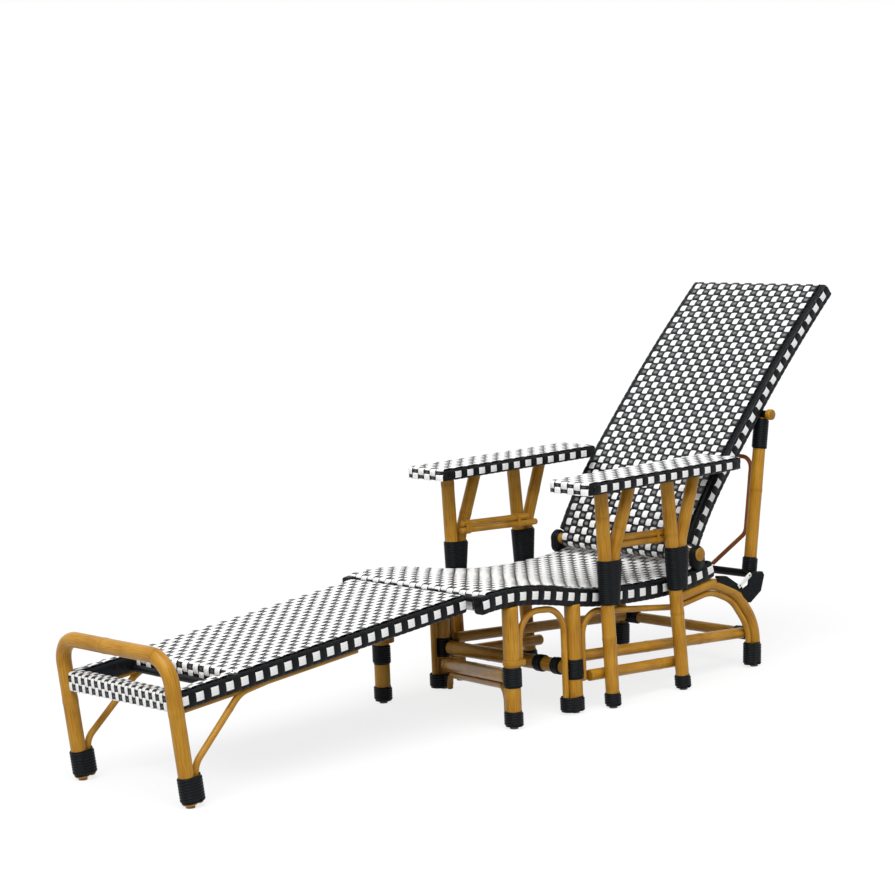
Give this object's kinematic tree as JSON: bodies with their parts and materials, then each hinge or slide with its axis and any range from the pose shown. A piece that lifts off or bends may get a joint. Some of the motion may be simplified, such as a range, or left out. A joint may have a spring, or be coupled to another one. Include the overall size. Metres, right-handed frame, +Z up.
{
  "type": "chaise longue",
  "caption": "Rattan chaise longue with black and white woven seat, flat arm rests, a backrest that reclines on a notched prop, and a hung leg rest with a hoop foot.",
  "frame": {"origin": "on the floor under the middle of the whole part", "axes": "+X from the foot end to the head end, +Y from the near side to the far side, +Z up"},
  "size_m": [2.1591, 0.62, 0.9371],
  "materials": {
    "rattan": "honey varnish",
    "brown_cane": "brown varnish",
    "border": "black woven strip with white squares",
    "weave": "black and white check weave",
    "black_cane": "black wound strip",
    "glide": "brown"
  },
  "bodies": {
    "seat_frame": {"arm_fork_front": "rattan", "arm_fork_rear": "rattan", "arm_frames": "border", "arm_panels": "weave", "arm_post_front": "rattan", "arm_post_rear": "rattan", "arm_stretchers": "rattan", "dock_rod": "rattan", "foot_bindings": "black_cane", "fork_bindings": "black_cane", "front_arch": "rattan", "front_diagonal": "rattan", "front_legs": "rattan", "hinge_lugs": "black_cane", "hinge_rod": "rattan", "knee_bindings": "black_cane", "long_arches": "rattan", "low_rails": "rattan", "racks": "black_cane", "rear_arches": "rattan", "rear_stretcher": "rattan", "seat_front_rail": "border", "seat_glides": "glide", "seat_panel": "weave", "seat_rail_far": "border", "seat_rail_near": "border", "seat_rear_rail": "border", "seat_slats": "rattan", "second_legs": "rattan", "second_stretcher": "rattan", "side_arches": "rattan", "side_rails": "rattan"},
    "backrest": {"back_bottom_rod": "rattan", "back_cross_rods": "rattan", "back_panel": "weave", "back_rail_far": "border", "back_rail_near": "border", "back_top_bar": "border", "hinge_straps": "black_cane", "pivot_straps": "black_cane"},
    "prop": {"prop_bindings": "black_cane", "prop_foot_bar": "black_cane", "prop_inner_arch": "brown_cane", "prop_leg_far": "rattan", "prop_leg_near": "rattan", "prop_pivot_rod": "rattan"},
    "leg_rest": {"dock_straps": "black_cane", "hoop": "rattan", "hoop_bindings": "black_cane", "rest_braces": "rattan", "rest_cross_rod": "rattan", "rest_end_rail": "border", "rest_glides": "glide", "rest_head_rail": "border", "rest_panel": "weave", "rest_rail_far": "border", "rest_rail_near": "border", "rest_slot_rail": "border", "rest_under_rods": "rattan"}
  },
  "joints": [
    {"name": "backrest_recline", "type": "hinge", "parent": "seat_frame", "child": "backrest", "pos_m": [0.51666, 0, 0.316], "axis": [0, 1, 0], "range_deg": [0, 7.3]},
    {"name": "prop_swing", "type": "hinge", "parent": "backrest", "child": "prop", "pos_m": [0.80666, 0, 0.628], "axis": [0, 1, 0], "range_deg": [0, 5.04]},
    {"name": "leg_rest_lift", "type": "hinge", "parent": "seat_frame", "child": "leg_rest", "pos_m": [-0.20834, 0, 0.312], "axis": [0, 1, 0], "range_deg": [0, 40]}
  ],
  "couplings": [
    {"joint": "prop_swing", "follows": "backrest_recline", "ratio": 0.69}
  ]
}
